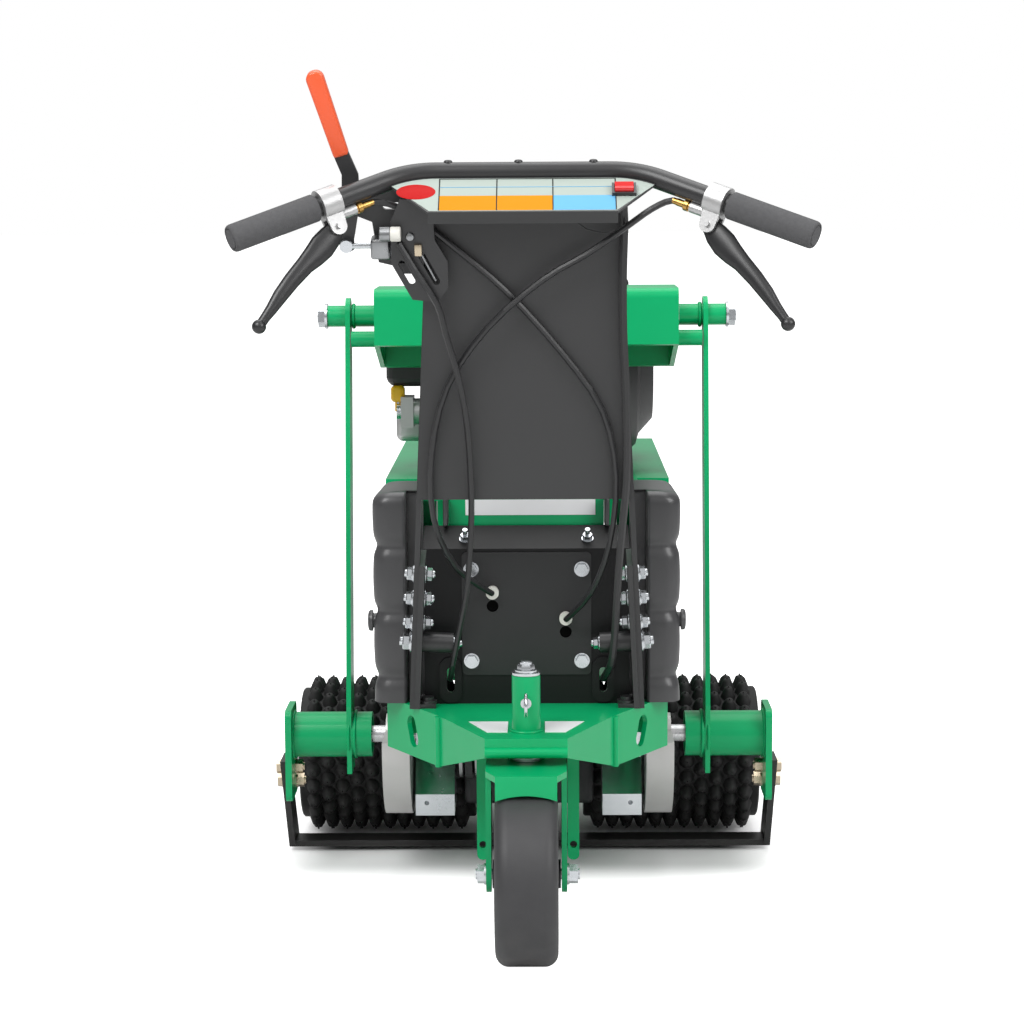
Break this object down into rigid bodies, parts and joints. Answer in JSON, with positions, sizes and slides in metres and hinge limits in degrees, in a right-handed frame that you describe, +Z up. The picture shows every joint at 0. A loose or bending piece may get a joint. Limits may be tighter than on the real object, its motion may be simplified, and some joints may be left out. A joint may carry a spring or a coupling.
{
  "type": "sod cutter",
  "caption": "Walk-behind sod cutter: knobbed drive drums, rear caster, U-shaped blade on swing arms, engine deck and leaning handle with levers and cables.",
  "frame": {"origin": "on the ground under the middle of the machine's box", "axes": "+Y forward, away from the operator; +Z up; +X to the operator's right"},
  "size_m": [0.644, 1.217, 0.9883],
  "materials": {
    "green_paint": "gloss enamel",
    "black_paint": "satin powder coat",
    "black_plastic": "fine grain",
    "charcoal_paint": "satin",
    "zinc": "bright zinc",
    "grey_cast": "as cast",
    "dark_cast": "painted casting",
    "steel": "turned",
    "dark_steel": "blackened",
    "yellow_zinc": "yellow zinc",
    "white_nylon": "plain",
    "panel_paint": "satin",
    "foam": "closed-cell foam",
    "cable_black": "satin sheath",
    "knob_rubber": "moulded",
    "tyre_rubber": "smooth",
    "lever_black": "black enamel",
    "orange_vinyl": "dipped",
    "red_plastic": "moulded"
  },
  "bodies": {
    "frame": {"rear_frame": "green_paint", "swivel_tube": "green_paint", "rails": "green_paint", "engine_deck": "green_paint", "posts": "green_paint", "pivot_beam": "green_paint", "front_guard": "black_paint", "rear_cover": "black_paint", "mast_brackets": "black_paint", "uprights": "black_paint", "handlebar": "black_paint", "lever_bracket": "black_paint", "left_side_cover": "black_plastic", "right_side_cover": "black_plastic", "fan_housing": "black_plastic", "fuel_tank": "black_plastic", "air_cleaner": "black_plastic", "cover_plate": "charcoal_paint", "handle_shield": "charcoal_paint", "pivot_bolts": "zinc", "body_bolts": "zinc", "handle_bolts": "zinc", "bearing_blocks": "zinc", "lever_perches": "grey_cast", "carburettor": "grey_cast", "cylinder_block": "grey_cast", "transaxle_case": "dark_cast", "crankcase": "dark_cast", "muffler": "steel", "grommets": "white_nylon", "control_panel": "panel_paint", "grips": "foam", "drive_belt": "cable_black", "lever_cables": "cable_black", "speed_cable": "cable_black", "switch_loom": "cable_black"},
    "caster": {"caster_fork": "green_paint", "caster_stem": "zinc", "caster_axle": "zinc"},
    "caster_wheel": {"caster_hub": "dark_cast", "caster_tyre": "tyre_rubber"},
    "lock": {"lock_pin": "zinc"},
    "drive": {"axle_shaft": "steel", "drum_cores": "dark_steel", "left_tread": "knob_rubber", "right_tread": "knob_rubber"},
    "carrier": {"swing_arms": "green_paint", "blade": "dark_steel", "blade_bolts": "yellow_zinc"},
    "blade_drive": {"blade_shaft": "steel", "counterweights": "zinc"},
    "crank": {"crankshaft": "steel"},
    "lever_l": {"left_lever": "lever_black"},
    "lever_r": {"right_lever": "lever_black"},
    "speed": {"speed_lever": "black_paint", "lever_sleeve": "orange_vinyl"},
    "slide": {"tie_rod": "zinc"},
    "switch": {"stop_switch": "red_plastic"},
    "throttle": {"throttle_lever": "zinc"},
    "recoil": {"recoil_handle": "black_plastic"}
  },
  "joints": [
    {"name": "caster_swivel", "type": "hinge", "parent": "frame", "child": "caster", "pos_m": [0, -0.4615, 0.2], "axis": [0, 0, 1], "range_deg": [-20, 20]},
    {"name": "caster_spin", "type": "hinge", "parent": "caster", "child": "caster_wheel", "pos_m": [0, -0.5065, 0.102], "axis": [1, 0, 0], "continuous": true},
    {"name": "lock_pull", "type": "slide", "parent": "frame", "child": "lock", "axis": [0, -1, 0], "range_m": [0, 0.008], "stiffness_N_per_m": 300},
    {"name": "drive_spin", "type": "hinge", "parent": "frame", "child": "drive", "pos_m": [0, 0.0925, 0.104], "axis": [1, 0, 0], "continuous": true},
    {"name": "carrier_swing", "type": "hinge", "parent": "frame", "child": "carrier", "pos_m": [0, -0.0385, 0.699], "axis": [1, 0, 0], "range_deg": [-1, 1]},
    {"name": "shaft_spin", "type": "hinge", "parent": "frame", "child": "blade_drive", "pos_m": [0, -0.1035, 0.172], "axis": [1, 0, 0], "continuous": true},
    {"name": "crank_spin", "type": "hinge", "parent": "frame", "child": "crank", "pos_m": [0, 0.1365, 0.603], "axis": [1, 0, 0], "continuous": true},
    {"name": "right_squeeze", "type": "hinge", "parent": "frame", "child": "lever_r", "pos_m": [0.19929, -0.53553, 0.81986], "axis": [-0.415, -0.8972, 0.151], "range_deg": [0, 18], "stiffness_Nm_per_rad": 2},
    {"name": "left_squeeze", "type": "hinge", "parent": "frame", "child": "lever_l", "pos_m": [-0.19929, -0.53553, 0.81986], "axis": [-0.415, 0.8972, -0.151], "range_deg": [0, 18], "stiffness_Nm_per_rad": 2},
    {"name": "speed_swing", "type": "hinge", "parent": "frame", "child": "speed", "pos_m": [-0.188, -0.47115, 0.84698], "axis": [0, 0.9641, 0.2656], "range_deg": [-12, 12]},
    {"name": "tie_slide", "type": "slide", "parent": "frame", "child": "slide", "axis": [1, 0, 0], "range_m": [-0.0105, 0.0105]},
    {"name": "switch_tip", "type": "hinge", "parent": "frame", "child": "switch", "pos_m": [0.108, -0.52528, 0.85988], "axis": [1, 0, 0], "range_deg": [0, 14]},
    {"name": "throttle_turn", "type": "hinge", "parent": "frame", "child": "throttle", "pos_m": [-0.166, 0.0325, 0.571], "axis": [1, 0, 0], "range_deg": [-20, 30]},
    {"name": "recoil_pull", "type": "slide", "parent": "frame", "child": "recoil", "axis": [0, 0, 1], "range_m": [0, 0.1], "stiffness_N_per_m": 60}
  ],
  "couplings": [
    {"joint": "crank_spin", "follows": "shaft_spin", "ratio": 1.321},
    {"joint": "tie_slide", "follows": "speed_swing", "m_per_rad": -0.048}
  ]
}
